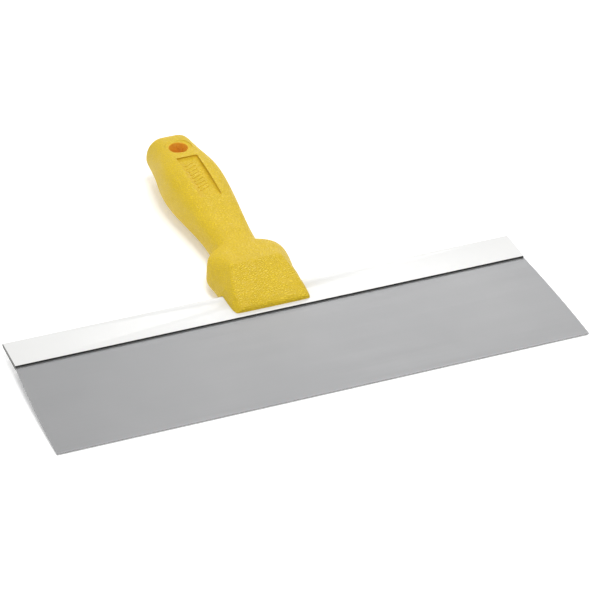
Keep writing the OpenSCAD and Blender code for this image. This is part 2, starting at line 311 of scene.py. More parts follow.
def across_ridge(a, b):
    """True for the crosswise edges on the ridge's crest."""
    on_ridge = any(abs(a.y - y) < SAME for y in RIDGE_YS)
    return abs(a.y - b.y) < SAME and on_ridge and min(a.z, b.z) > RIDGE_LOW_Z


print("wedge edges:", crease_edges(skin, WEDGE_CREASE, along_flat_edge))
print("ridge edges:", crease_edges(skin, RIDGE_CREASE, across_ridge))
finish_modifier(skin, "SUBSURF", levels=3, render_levels=3)
report_piece(skin)

# %% [markdown]
# The rail, the lower moulding, the hang hole and the label panel are all room taken out of that skin.
# Each is a closed tool that a Boolean cuts away. The hole's tool is turned in one piece: its straight
# part makes the bore, its wide top makes the shallow sunk rim, and its flare below opens the lower mouth.

# %% Room for the rail and the lower moulding
PART_GAP = 0.2           # air between two moulded or fitted pieces
DEEP = -20.0             # a depth well below the handle's belly, where closed tools start


def box_tool(name, low, high):
    """A closed box between two corners, in mm."""
    deselect_all()
    low, high = Vector(low), Vector(high)
    bpy.ops.mesh.primitive_cube_add(size=1, location=(low + high) / 2 * MM, scale=(high - low) * MM)
    tool = name_active(name)
    apply_place(tool)
    return tool


def outline_tool(name, half_outline, low, high):
    """A closed prism over a plan that is the same on both sides; the plan is given for +X, in mm."""
    plan = [(x, y) for x, y in half_outline] + [(-x, y) for x, y in reversed(half_outline) if x > 0]
    mesh = bpy.data.meshes.new(name)
    mesh.from_pydata([(x * MM, y * MM, low * MM) for x, y in plan], [], [range(len(plan))])
    tool = bpy.data.objects.new(name, mesh)
    bpy.context.scene.collection.objects.link(tool)
    only(tool)
    bpy.ops.object.mode_set(mode="EDIT")
    bpy.ops.mesh.select_all(action="SELECT")
    bpy.ops.mesh.extrude_region_move(TRANSFORM_OT_translate={"value": (0, 0, (high - low) * MM)})
    bpy.ops.mesh.select_all(action="SELECT")
    bpy.ops.mesh.normals_make_consistent(inside=False)
    bpy.ops.object.mode_set(mode="OBJECT")
    return tool


def base_outline(grow=0.0):
    """Half of the plan of the lower moulding's tongue, which runs back under the neck and the grip."""
    head_half, neck_half, end_r = 14.5 + grow, 6.3 + grow, 11.7 + grow
    end_y = 100.3
    sides = [(head_half, 15.0), (head_half, 31.2), (neck_half, 42.2 + grow), (neck_half, 55.2),
             (end_r, 93.8 - grow), (end_r, end_y)]
    turns = [radians(9 * i) for i in range(1, 10)]
    return sides + [(end_r * cos(a), end_y + end_r * sin(a)) for a in turns] + [(0, end_y + end_r)]


BASE_TOP = -STACK_T      # the lower moulding starts at the rail's underside
shell = copy_of(skin, "grip_shell")
cut(shell, box_tool("rail_room", (-40, -10, DEEP), (40, RAIL_W + PART_GAP, 0)))
cut(shell, outline_tool("base_room", base_outline(PART_GAP), DEEP, BASE_TOP + PART_GAP))
report_piece(shell)

# %% Hang hole with its sunk rim
HOLE_R = hole["dims"]["r_mm"]
HOLE_LOW_Z = -7.6        # the bore starts to flare below this
RIM_R = 6.8
RIM_Z = 11.5             # floor of the sunk rim
LIP = 0.5                # radius of the rounded lips of the hole


def turned_tool(name, profile, x, y, steps=64):
    """A closed shape turned round a vertical axis, from (radius, z) points in mm."""
    deselect_all()
    bpy.ops.mesh.primitive_circle_add(vertices=steps, radius=profile[0][0] * MM, fill_type="NGON",
                                      location=(0, 0, profile[0][1] * MM))
    tool = name_active(name)
    apply_place(tool)
    bpy.ops.object.mode_set(mode="EDIT")
    bpy.ops.mesh.select_all(action="SELECT")
    for (r0, z0), (r1, z1) in zip(profile, profile[1:]):
        bpy.ops.mesh.extrude_region_move(TRANSFORM_OT_translate={"value": (0, 0, (z1 - z0) * MM)})
        bpy.ops.transform.resize(value=(r1 / r0, r1 / r0, 1), center_override=(0, 0, z1 * MM))
    bpy.ops.mesh.select_all(action="SELECT")
    bpy.ops.transform.translate(value=(x * MM, y * MM, 0))
    bpy.ops.mesh.normals_make_consistent(inside=False)
    bpy.ops.object.mode_set(mode="OBJECT")
    return tool


flare = [(HOLE_R + 3, -12), (HOLE_R + 1.2, -9.2), (HOLE_R + 0.3, -8.4), (HOLE_R, HOLE_LOW_Z)]
lip_turns = [radians(15 * i) for i in range(7)]
lip = [(HOLE_R + LIP * (1 - cos(a)), RIM_Z - LIP + LIP * sin(a)) for a in lip_turns]
rim = [(RIM_R - 0.6, RIM_Z), (RIM_R - 0.2, RIM_Z + 0.12), (RIM_R, RIM_Z + 0.45), (RIM_R + 0.2, RIM_Z + 5)]
cut(shell, turned_tool("hole_tool", flare + lip + rim, 0, HOLE_Y))
report_piece(shell)

# %% [markdown]
# The label panel is a long sunk rectangle, a millimetre or two deep. Its floor is flat and tilted, so
# that it follows the rise of the grip's curved back. In place of any lettering it carries a plain row
# of slanted ribs, which are cut out of the tool first, so that the tool leaves them standing.

# %% Label panel with ribs
LABEL_W, LABEL_L = 10.6, 34.0
HOLE_TO_LABEL = 11.3
LABEL_BACK = HOLE_Y - HOLE_TO_LABEL
LABEL_FRONT = LABEL_BACK - LABEL_L
LABEL_Z_BACK, LABEL_Z_FRONT = 12.15, 10.35
LABEL_TOOL_T = 12.0      # the tool's height, which reaches out past the grip's back
LABEL_ROUND = 0.45       # rounding of the panel's corners
RIB_N = 9
RIB_L, RIB_W, RIB_H = 5.6, 1.0, 0.2
RIB_PITCH = 2.6
RIB_SLANT = 28           # degrees
RIBS_LEFT, RIBS_BACK = 0.6, 1.5     # how far the row stands off the panel's middle
RIB_ROUND = 0.15


def round_edges(piece, offset, segments):
    """Bevels every edge of the active piece."""
    bpy.ops.object.mode_set(mode="EDIT")
    bpy.ops.mesh.select_all(action="SELECT")
    bpy.ops.mesh.bevel(offset=offset * MM, segments=segments, affect="EDGES")
    bpy.ops.object.mode_set(mode="OBJECT")
    return piece


def label_tool():
    """A rounded box as large as the panel, with its floor at Z = 0."""
    tool = box_tool("label_tool", (-LABEL_W / 2, LABEL_FRONT, 0), (LABEL_W / 2, LABEL_BACK, LABEL_TOOL_T))
    return round_edges(tool, LABEL_ROUND, 3)


def rib_tool():
    """Slanted bars standing on the panel's floor."""
    first = LABEL_FRONT + (LABEL_L - (RIB_N - 1) * RIB_PITCH) / 2 + RIBS_BACK
    ribs = []
    for i in range(RIB_N):
        deselect_all()
        bpy.ops.mesh.primitive_cube_add(size=1, scale=(RIB_L * MM, RIB_W * MM, 2 * RIB_H * MM),
                                        location=(-RIBS_LEFT * MM, (first + i * RIB_PITCH) * MM, 0),
                                        rotation=(0, 0, radians(RIB_SLANT)))
        rib = name_active("rib")
        apply_place(rib)
        ribs.append(round_edges(rib, RIB_ROUND, 2))
    deselect_all()
    for rib in ribs:
        rib.select_set(True)
    bpy.context.view_layer.objects.active = ribs[0]
    bpy.ops.object.join()
    return name_active("ribs")


panel = label_tool()
cut(panel, rib_tool())
tilt = Matrix.Translation(Vector((0, LABEL_FRONT, LABEL_Z_FRONT)) * MM)
tilt @= Matrix.Rotation((LABEL_Z_BACK - LABEL_Z_FRONT) / LABEL_L, 4, "X")
tilt @= Matrix.Translation(Vector((0, -LABEL_FRONT, 0)) * MM)
panel.data.transform(tilt)
cut(shell, panel)
report_piece(shell)

# %% [markdown]
# The handle closes from below with a second moulding, whose outside carries on the handle's skin. It is
# that same skin, kept only inside its plan: a block under the rail for the lower jaw, and a tongue that
# follows the neck and the grip. Two copies of one skin meet in one smooth surface, with just the thin
# parting gap showing. Five screws come up from below, each in a pocket with a step that its head
# bears on; the screws themselves are the CAD parts.

# %% Lower moulding
LOWER_JAW_HALF = 18.1
LOWER_JAW_FRONT, LOWER_JAW_BACK = 3.9, 17.9
base = copy_of(skin, "grip_base")
base_plan = outline_tool("base_plan", base_outline(), DEEP, BASE_TOP)
lower_jaw = box_tool("lower_jaw", (-LOWER_JAW_HALF, LOWER_JAW_FRONT, DEEP - 1),
                     (LOWER_JAW_HALF, LOWER_JAW_BACK, BASE_TOP))
cut(base_plan, lower_jaw, how="UNION")
cut(base, base_plan, how="INTERSECT")
bpy.data.objects.remove(skin)
report_piece(base)

# %% Screw pockets in the lower moulding
# Each screw: x, y, and the height of the face that its head bears on
JAW_SCREWS = [(-12, 12.7, -3.29), (0, 12.7, -3.29), (12, 12.7, -3.29)]
GRIP_SCREWS = [(0, 34.2, -3.38), (0, 103.8, -7.53)]
HEAD_R, SHANK_R, SCREW_GAP = 3.3, 1.75, 0.25
HEAD_ROOM, SHANK_ROOM = HEAD_R + SCREW_GAP, SHANK_R + SCREW_GAP
for x, y, seat in JAW_SCREWS + GRIP_SCREWS:
    pocket = [(HEAD_ROOM, DEEP), (HEAD_ROOM, seat), (SHANK_ROOM, seat + 0.01), (SHANK_ROOM, 2)]
    cut(base, turned_tool("pocket", pocket, x, y, steps=40))
report_piece(base)


def drill_for_jaw_screws(piece):
    """Drills a sheet for the three screws that pass through the jaw."""
    for x, y, _ in JAW_SCREWS:
        cut(piece, turned_tool("drill", [(SHANK_ROOM, -6), (SHANK_ROOM, 4)], x, y, steps=32))

# %% [markdown]
# The rail is one strip of sheet metal folded back on itself over the blade's hidden edge. It is made
# as the factory makes it: a flat strip, its back edge spun half a turn, the lower leaf drawn forward
# again, and the sheet given its thickness at the end. A hair of bevel catches the light on its edges.

# %% Folded rail
BLADE_L = 254.0
RAIL_L = 249.4
FOLD_Y = RAIL_W - STACK_T / 2
FOLD_Z = -STACK_T / 2


def select_verts(piece, wanted):
    """In edit mode, selects the points whose place in mm satisfies the test."""
    bpy.ops.mesh.select_all(action="DESELECT")
    shape = bmesh.from_edit_mesh(piece.data)
    for vert in shape.verts:
        vert.select_set(wanted(vert.co / MM))
    shape.select_flush_mode()
    shape.select_flush(True)
    bmesh.update_edit_mesh(piece.data)


def make_rail():
    """One strip, folded over the blade's hidden edge."""
    deselect_all()
    bpy.ops.mesh.primitive_plane_add(size=1, location=(0, FOLD_Y / 2 * MM, -RAIL_T / 2 * MM))
    bpy.ops.transform.resize(value=(RAIL_L * MM, FOLD_Y * MM, 1))
    piece = name_active("rail_strip")
    apply_place(piece)
    bpy.ops.object.mode_set(mode="EDIT")
    select_verts(piece, lambda p: p.y > FOLD_Y - 0.1)
    bpy.ops.mesh.spin(steps=10, angle=pi, center=(0, FOLD_Y * MM, FOLD_Z * MM), axis=(1, 0, 0))
    bpy.ops.mesh.extrude_region_move(TRANSFORM_OT_translate={"value": (0, -FOLD_Y * MM, 0)})
    bpy.ops.mesh.select_all(action="SELECT")
    bpy.ops.mesh.normals_make_consistent(inside=False)
    bpy.ops.object.mode_set(mode="OBJECT")
    finish_modifier(piece, "SOLIDIFY", thickness=RAIL_T * MM, offset=0, use_even_offset=True)
    return piece


rail = make_rail()
drill_for_jaw_screws(rail)
report_piece(rail)

# %% [markdown]
# The strip is coated before it is sheared to size, so its cut faces stay bare metal. Those faces are
# found by where they look and where they lie: the front faces of both leaves, and the two ends. They
# get the second material slot.

# %% Mark the rail's bare cut faces and soften its edges
BARE = 1
EDGE_SOFT = 0.1
END_X = RAIL_L / 2 - 0.7
SQUARE_ON = 0.6          # a face looks along an axis when its normal has more than this along it


def mark_cut_faces(piece, slot, wanted):
    """Gives the faces that satisfy the test the material in that slot."""
    count = 0
    for face in piece.data.polygons:
        if wanted(face.normal, face.center / MM):
            face.material_index = slot
            count += 1
    return count


def was_sheared(normal, centre):
    """True for the front faces of both leaves and for the two ends."""
    at_front = normal.y < -SQUARE_ON and centre.y < 0.3
    at_end = abs(normal.x) > SQUARE_ON and abs(centre.x) > END_X
    return at_front or at_end


finish_modifier(rail, "BEVEL", width=EDGE_SOFT * MM, segments=2, limit_method="ANGLE",
                angle_limit=radians(50))
bare = mark_cut_faces(rail, BARE, was_sheared)
print("rail:", len(rail.data.polygons), "faces,", bare, "bare")

# %% [markdown]
# The blade is a thin sheet that spreads a little from the rail to the working edge and slopes down by
# one degree on the way. Its outline comes from a grid whose rows are scaled one by one; a bisect adds
# the row where the bevel under the working edge starts, and extruding the sheet gives the thickness.

# %% Blade
REACH = 65.0             # from the rail's front edge to the working edge
FLARE = 2.3              # how much longer the working edge is at each end than the blade at the rail
DROOP = radians(1)
BEVEL_W, EDGE_T = 1.2, 0.3
BLADE_IN = 17.0          # how far the blade goes into the rail
ROWS = 13
STEP_IN = 0.02           # a short first row inside the rail, where the sheet turns level
NARROWER = 0.996         # and where it gets a little narrower


def make_blade():
    """A grid shaped row by row, carried on into the rail and given its thickness."""
    deselect_all()
    bpy.ops.mesh.primitive_grid_add(x_subdivisions=2, y_subdivisions=ROWS, size=1,
                                    location=(0, -REACH / 2 * MM, -RAIL_T * MM))
    bpy.ops.transform.resize(value=(BLADE_L * MM, REACH * MM, 1))
    piece = name_active("blade_sheet")
    apply_place(piece)
    bpy.ops.object.mode_set(mode="EDIT")
    bpy.ops.mesh.select_all(action="SELECT")
    bpy.ops.mesh.bisect(plane_co=(0, (BEVEL_W - REACH) * MM, 0), plane_no=(0, 1, 0))
    rows = sorted({round(v.co.y / MM, 2) for v in bmesh.from_edit_mesh(piece.data).verts})
    for y in rows:
        half = BLADE_L / 2 - FLARE * (1 + y / REACH) ** 2
        select_verts(piece, lambda p: abs(p.y - y) < SAME)
        bpy.ops.transform.resize(value=(half / (BLADE_L / 2), 1, 1), center_override=(0, y * MM, 0))
        bpy.ops.transform.translate(value=(0, 0, y * tan(DROOP) * MM))
    select_verts(piece, lambda p: p.y > -SAME)
    bpy.ops.mesh.extrude_region_move(TRANSFORM_OT_translate={"value": (0, STEP_IN * MM, 0)})
    bpy.ops.transform.resize(value=(NARROWER, 1, 1), center_override=(0, 0, 0))
    bpy.ops.mesh.extrude_region_move(TRANSFORM_OT_translate={"value": (0, (BLADE_IN - STEP_IN) * MM, 0)})
    bpy.ops.mesh.select_all(action="SELECT")
    bpy.ops.mesh.extrude_region_move(TRANSFORM_OT_translate={"value": (0, 0, -BLADE_T * MM)})
    edge_low = -RAIL_T - REACH * sin(DROOP) - BLADE_T
    select_verts(piece, lambda p: p.y < -REACH + 0.1 and p.z < edge_low + 0.2)
    bpy.ops.transform.translate(value=(0, 0, (BLADE_T - EDGE_T) * MM))
    bpy.ops.mesh.select_all(action="SELECT")
    bpy.ops.mesh.normals_make_consistent(inside=False)
    bpy.ops.object.mode_set(mode="OBJECT")
    return piece


blade = make_blade()
drill_for_jaw_screws(blade)
report_piece(blade)

# %% [markdown]
# Each new piece is shaded smooth over its soft turns and sharp over its real edges, then laid on the
# bench. It takes the place of one CAD part and rides on the tool's only body. The screws need no new
# shape, so the CAD parts themselves are kept and only get a better material.

# %% Put every new piece on the bench
SMOOTH_TURN = radians(32)
for piece, node, finish in ((shell, "handle_shell", "grip_plastic"), (base, "handle_base", "grip_plastic"),
                            (rail, "back_rail", "rail_coat"), (blade, "blade", "spring_steel")):
    only(piece)
    bpy.ops.object.shade_smooth_by_angle(angle=SMOOTH_TURN)
    to_bench(piece)
    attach(piece, "root")
    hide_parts(node)
screws = [frame["nodes"]["jaw_screws"], frame["nodes"]["grip_screws"]]
print("pieces placed:", [p.name for p in (shell, base, rail, blade)])

# %% [markdown]
# Finishes share a few effects, so each effect is a node group: built once, then placed in a material
# with that material's own values. A small helper adds a node and fills or links its inputs.

# %% Helpers for shader nodes
def add_node(tree, kind, inputs=None, **settings):
    """Adds a node; an input that is a socket is linked, and any other value is filled in."""
    made = tree.nodes.new("ShaderNode" + kind)
    for key, value in settings.items():
        setattr(made, key, value)
    for key, value in (inputs or {}).items():
        if isinstance(value, bpy.types.NodeSocket):
            tree.links.new(value, made.inputs[key])
        else:
            made.inputs[key].default_value = value
    return made


def maths(tree, operation, *values, clamp=False):
    """The output of a Math node."""
    made = add_node(tree, "Math", dict(enumerate(values)), operation=operation, use_clamp=clamp)
    return made.outputs[0]


def new_group(name, inputs, outputs):
    """An empty effect group with named number inputs and number outputs."""
    group = bpy.data.node_groups.new(name, "ShaderNodeTree")
    for label, value in inputs:
        socket = group.interface.new_socket(label, in_out="INPUT", socket_type="NodeSocketFloat")
        socket.default_value = value
    for label in outputs:
        group.interface.new_socket(label, in_out="OUTPUT", socket_type="NodeSocketFloat")
    enter = group.nodes.new("NodeGroupInput")
    leave = group.nodes.new("NodeGroupOutput")
    return group, enter.outputs, leave.inputs


def use_group(tree, group, **values):
    """Places an effect in a material with that material's own values."""
    made = tree.nodes.new("ShaderNodeGroup")
    made.node_tree = group
    for key, value in values.items():
        made.inputs[key.replace("_", " ")].default_value = value
    return made.outputs


print("shader helpers ready")

# %% [markdown]
# No moulding or coat is quite even: its colour and its gloss drift a little from place to place. A
# soft noise, stretched between a low and a high value, gives that drift to every material here.

# %% Effect: cloudy variation
def build_cloudy():
    """Slow drift between Low and High; Scale is the number of clouds in a metre."""
    group, given, result = new_group("cloudy", [("Scale", 40.0), ("Low", 0.0), ("High", 1.0)], ["Value"])
    where = add_node(group, "TexCoord").outputs["Object"]
    noise = add_node(group, "TexNoise", {"Vector": where, "Scale": given["Scale"], "Detail": 3.0,
                                         "Roughness": 0.55})
    ramp = add_node(group, "MapRange", {"Value": noise.outputs["Fac"], "From Min": 0.3, "From Max": 0.7,
                                        "To Min": given["Low"], "To Max": given["High"]})
    group.links.new(ramp.outputs["Result"], result["Value"])
    return group


cloudy = build_cloudy()
print("built", cloudy.name)

# %% [markdown]
# The grip has a leather grain that was etched into the mould, so that a wet hand doesn't slip. It is
# far too fine to model, about a thousand cells to the metre. Voronoi cells have the right pattern of
# small islands with creases between them, and a noise that bends their borders takes the hard
# straight look away. The cells are stretched along the blade's direction by a scale on X.

# %% Effect: leather grain pressed into the mould
CELL_STRETCH = (0.55, 1.2, 1.2)
CELL_BEND = 0.0009       # how far the borders are bent, in metres


def build_grain():
    """Small wrinkled cells with fine creases between them; Height is for bump, Crease for the painted shade
    in the creases.
    """
    sockets = [("Scale", 1000.0), ("Wrinkle", 0.5)]
    group, given, result = new_group("leather_grain", sockets, ["Height", "Crease"])
    place = add_node(group, "TexCoord").outputs["Object"]
    where = add_node(group, "VectorMath", {0: place, 1: CELL_STRETCH}, operation="MULTIPLY").outputs[0]
    half_scale = maths(group, "MULTIPLY", given["Scale"], 0.6)
    wobble = add_node(group, "TexNoise", {"Vector": where, "Scale": half_scale, "Detail": 2.0})
    push = add_node(group, "VectorMath", {0: wobble.outputs["Color"], "Scale": CELL_BEND}, operation="SCALE")
    bent = add_node(group, "VectorMath", {0: where, 1: push.outputs[0]}, operation="ADD")
    cells = add_node(group, "TexVoronoi", {"Vector": bent.outputs[0], "Scale": given["Scale"]},
                     feature="DISTANCE_TO_EDGE")
    creases = add_node(group, "MapRange", {"Value": cells.outputs["Distance"], "From Max": 0.28},
                       interpolation_type="SMOOTHSTEP")
    double_scale = maths(group, "MULTIPLY", given["Scale"], 2.2)
    fine = add_node(group, "TexNoise", {"Vector": bent.outputs[0], "Scale": double_scale, "Detail": 2.0})
    fine_part = maths(group, "MULTIPLY", fine.outputs["Fac"], given["Wrinkle"])
    height = maths(group, "ADD", creases.outputs["Result"], fine_part)
    group.links.new(height, result["Height"])
    group.links.new(maths(group, "SUBTRACT", 1.0, creases.outputs["Result"]), result["Crease"])
    return group


leather_grain = build_grain()
print("built", leather_grain.name)

# %% [markdown]
# Hands and hooks rub the edges of a tool first, which is real wear; its corners and holes get painted
# shade. Both masks come from ambient occlusion: measured inside the solid it finds the outside edges,
# and measured outside it finds the sheltered places. Both look only at their own piece, so the floor
# leaves no mark.

# %% Effect: worn edges, and sheltered corners for painted shade
def build_edge_wear():
    """1 along outside edges, broken up by noise."""
    sockets = [("Reach", 0.001), ("Patch Scale", 300.0), ("Gain", 3.0)]
    group, given, result = new_group("edge_wear", sockets, ["Mask"])
    inside = add_node(group, "AmbientOcclusion", {"Distance": given["Reach"]}, inside=True, only_local=True,
                      samples=6)
    open_part = maths(group, "SUBTRACT", 1.0, inside.outputs["AO"])
    where = add_node(group, "TexCoord").outputs["Object"]
    patches = add_node(group, "TexNoise", {"Vector": where, "Scale": given["Patch Scale"], "Detail": 4.0})
    broken = maths(group, "MULTIPLY", open_part, patches.outputs["Fac"])
    group.links.new(maths(group, "MULTIPLY", broken, given["Gain"], clamp=True), result["Mask"])
    return group


def build_shelter():
    """1 deep in holes and corners, 0 in the open."""
    group, given, result = new_group("shelter", [("Reach", 0.005), ("Gain", 1.5)], ["Mask"])
    outside = add_node(group, "AmbientOcclusion", {"Distance": given["Reach"]}, only_local=True, samples=8)
    hidden = maths(group, "SUBTRACT", 1.0, outside.outputs["AO"])
    group.links.new(maths(group, "MULTIPLY", hidden, given["Gain"], clamp=True), result["Mask"])
    return group


edge_wear = build_edge_wear()
shelter = build_shelter()
print("built", edge_wear.name, "and", shelter.name)

# %% [markdown]
# The blade's steel is ground lengthwise, which leaves thousands of fine parallel lines. A noise whose
# places are stretched much more across the blade than along it turns its clouds into such lines.

# %% Effect: fine grinding lines along the blade
def build_grind():
    """Long thin lines along X, from a noise that is stretched a hundredfold and more."""
    group, given, result = new_group("grind_lines", [("Across", 2600.0), ("Along", 14.0)], ["Lines"])
    where = add_node(group, "TexCoord").outputs["Object"]
    across = given["Across"]
    stretch = add_node(group, "CombineXYZ", {"X": given["Along"], "Y": across, "Z": across})
    drawn = add_node(group, "VectorMath", {0: where, 1: stretch.outputs[0]}, operation="MULTIPLY")
    noise = add_node(group, "TexNoise", {"Vector": drawn.outputs[0], "Scale": 1.0, "Detail": 4.0,
                                         "Roughness": 0.6})
    group.links.new(noise.outputs["Fac"], result["Lines"])
    return group


grind_lines = build_grind()
print("effect groups:", sorted(g.name for g in (cloudy, leather_grain, edge_wear, shelter, grind_lines)))

# %% [markdown]
# A finish is one Principled shader. What is the same all over a piece, such as how metallic it is, is
# set on the shader's own socket. What changes over the piece is mixed from the effects above.

# %% Helpers for finishes
def new_material(name, **constants):
    """A material with its constants set on the shader's own sockets."""
    material = bpy.data.materials.new(name)
    material.use_nodes = True
    shader = material.node_tree.nodes["Principled BSDF"]
    for label, value in constants.items():
        shader.inputs[label.replace("_", " ")].default_value = value
    return material, material.node_tree, shader.inputs


def mixed(tree, mask, first, second, mode="MIX"):
    """Colour first where the mask is 0 and second where it is 1."""
    made = add_node(tree, "Mix", data_type="RGBA", blend_type=mode)
    for socket, value in ((made.inputs[0], mask), (made.inputs[6], first), (made.inputs[7], second)):
        if isinstance(value, bpy.types.NodeSocket):
            tree.links.new(value, socket)
        else:
            socket.default_value = value if isinstance(value, float) else (*value, 1)
    return made.outputs[2]


print("finish helpers ready")

# %% [markdown]
# The handle is moulded in a strong yellow plastic that is slightly milky. Its rubbed edges are paler.
# The brown in the creases of its grain and the orange in its corners are painted shade. Daylight
# soaks through the wall of the hang hole, which makes the wall glow orange: real scattering would
# take a much slower render, so a mask that measures the distance from the hole's axis gives that
# wall a warmer colour and a weak glow of its own.

# %% Finish: yellow moulded plastic
YELLOW, PALE_YELLOW = (0.715, 0.506, 0.002), (0.77, 0.55, 0.008)
CREASE_SHADE_BROWN = (0.54, 0.34, 0.004)
RUBBED_YELLOW = (0.84, 0.64, 0.08)
CORNER_SHADE_ORANGE = (0.70, 0.38, 0.008)
BORE_ORANGE, BORE_GLOW, NO_GLOW = (0.85, 0.42, 0.02), (0.085, 0.036, 0.006), (0.0, 0.0, 0.0)
BORE_FADE = 0.5          # mm outside the bore over which its colour fades out


def inside_bore(tree):
    """1 on the wall of the hang hole, where daylight soaks through the plastic; 0 elsewhere."""
    place = add_node(tree, "TexCoord").outputs["Object"]
    from_hole = add_node(tree, "VectorMath", {0: place, 1: hole["pos_m"]}, operation="SUBTRACT").outputs[0]
    across = add_node(tree, "VectorMath", {0: from_hole, 1: hole["axis"]}, operation="CROSS_PRODUCT")
    radius = add_node(tree, "VectorMath", {0: across.outputs[0]}, operation="LENGTH").outputs["Value"]
    near = add_node(tree, "MapRange", {"Value": radius, "From Min": (HOLE_R + BORE_FADE) * MM,
                                       "From Max": HOLE_R * MM})
    return near.outputs["Result"]


def make_grip_plastic():
    material, tree, shader = new_material("yellow_moulding", Specular_IOR_Level=0.4, Emission_Strength=1.0)
    drift = use_group(tree, cloudy, Scale=55.0)["Value"]
    grain = use_group(tree, leather_grain, Scale=1020.0, Wrinkle=0.4)
    worn = use_group(tree, edge_wear, Reach=0.0012, Patch_Scale=500.0, Gain=1.2)["Mask"]
    deep = use_group(tree, shelter, Reach=0.005, Gain=1.4)["Mask"]
    deep = maths(tree, "POWER", deep, 1.5)
    body = mixed(tree, drift, YELLOW, PALE_YELLOW)
    # painted shade: the creases of the grain are mixed towards brown
    crease_shaded = mixed(tree, maths(tree, "MULTIPLY", grain["Crease"], 0.5), body, CREASE_SHADE_BROWN)
    rubbed = mixed(tree, maths(tree, "MULTIPLY", worn, 0.3), crease_shaded, RUBBED_YELLOW)
    # painted shade: sheltered corners, hollows and the panel's edges are mixed towards orange
    shaded = mixed(tree, deep, rubbed, CORNER_SHADE_ORANGE)
    bore = inside_bore(tree)
    tree.links.new(mixed(tree, bore, shaded, BORE_ORANGE), shader["Base Color"])
    tree.links.new(mixed(tree, bore, NO_GLOW, BORE_GLOW), shader["Emission Color"])
    rough = use_group(tree, cloudy, Scale=130.0, Low=0.42, High=0.56)["Value"]
    tree.links.new(rough, shader["Roughness"])
    bump = add_node(tree, "Bump", {"Height": grain["Height"], "Strength": 0.85, "Distance": 0.00025})
    tree.links.new(bump.outputs["Normal"], shader["Normal"])
    return material


grip_plastic = make_grip_plastic()
print("finish", grip_plastic.name, len(grip_plastic.node_tree.nodes), "nodes")

# %% [markdown]
# The rail has a smooth white coat, baked on, with a trace of orange peel. It is a shade below pure
# white, so that the light can still model it, and its own sheltered places are painted a little grey:
# dust, and painted shade. The sheared faces are bare steel, painted very dark so that they also
# carry the painted shade of the fine dark line along the rail's front edge.

# %% Finish: white coat on the rail, and its bare cut edge, made dark with painted shade
COAT, BRIGHT_COAT = (0.69, 0.69, 0.68), (0.71, 0.71, 0.699)
# dust, and painted shade, for the rail's sheltered places
DUST_AND_SHADE = (0.6, 0.59, 0.55)
WORN_COAT = (0.5, 0.5, 0.5)
# bare steel made very dark, which also carries the painted shade along the rail's front edge
CUT_STEEL_AND_SHADE, BRIGHT_CUT_STEEL_AND_SHADE = (0.05, 0.052, 0.05), (0.085, 0.085, 0.08)


def make_rail_coat():
    material, tree, shader = new_material("white_coat", Specular_IOR_Level=0.4)
    drift = use_group(tree, cloudy, Scale=22.0)["Value"]
    worn = use_group(tree, edge_wear, Reach=0.0004, Patch_Scale=900.0, Gain=1.6)["Mask"]
    deep = use_group(tree, shelter, Reach=0.004, Gain=1.0)["Mask"]
    coat = mixed(tree, drift, COAT, BRIGHT_COAT)
    # dust, and painted shade: the rail's own sheltered places are mixed towards grey
    dust_and_shade = mixed(tree, maths(tree, "MULTIPLY", deep, 0.35), coat, DUST_AND_SHADE)
    rubbed = mixed(tree, maths(tree, "MULTIPLY", worn, 0.5), dust_and_shade, WORN_COAT)
    tree.links.new(rubbed, shader["Base Color"])
    tree.links.new(use_group(tree, cloudy, Scale=300.0, Low=0.3, High=0.42)["Value"], shader["Roughness"])
    orange_peel = use_group(tree, cloudy, Scale=900.0)["Value"]
    bump = add_node(tree, "Bump", {"Height": orange_peel, "Strength": 0.15, "Distance": 0.00003})
    tree.links.new(bump.outputs["Normal"], shader["Normal"])
    return material


def make_cut_steel():
    material, tree, shader = new_material("bare_cut_edge_and_shade", Metallic=0.3, Specular_IOR_Level=0.2)
    drift = use_group(tree, cloudy, Scale=260.0)["Value"]
    # painted shade: the cut faces are mixed between two very dark steels
    tree.links.new(mixed(tree, drift, CUT_STEEL_AND_SHADE, BRIGHT_CUT_STEEL_AND_SHADE), shader["Base Color"])
    lines = use_group(tree, grind_lines, Across=3000.0, Along=60.0)["Lines"]
    tree.links.new(maths(tree, "MULTIPLY_ADD", lines, 0.3, 0.45), shader["Roughness"])
    bump = add_node(tree, "Bump", {"Height": lines, "Strength": 0.4, "Distance": 0.00002})
    tree.links.new(bump.outputs["Normal"], shader["Normal"])
    return material


rail_coat = make_rail_coat()
rail_cut_edge = make_cut_steel()
print("finishes", rail_coat.name, "and", rail_cut_edge.name)

# %% [markdown]
# The blade is bare spring steel with a satin ground face: a metal whose colour, roughness and bump all
# follow the same grinding lines, brighter where its edges are rubbed. The screws are plated and
# smoother, and the cross of each recess gets painted shade.

# %% Finish: ground spring steel and plated screws
STEEL, BRIGHT_STEEL = (0.23, 0.232, 0.235), (0.252, 0.253, 0.255)
GROUND_LINE = (0.32, 0.32, 0.325)
RUBBED_STEEL = (0.55, 0.55, 0.56)
ZINC, BRIGHT_ZINC = (0.55, 0.55, 0.53), (0.68, 0.68, 0.66)
# painted shade for the screws' recesses
RECESS_SHADE_GREY = (0.12, 0.11, 0.1)


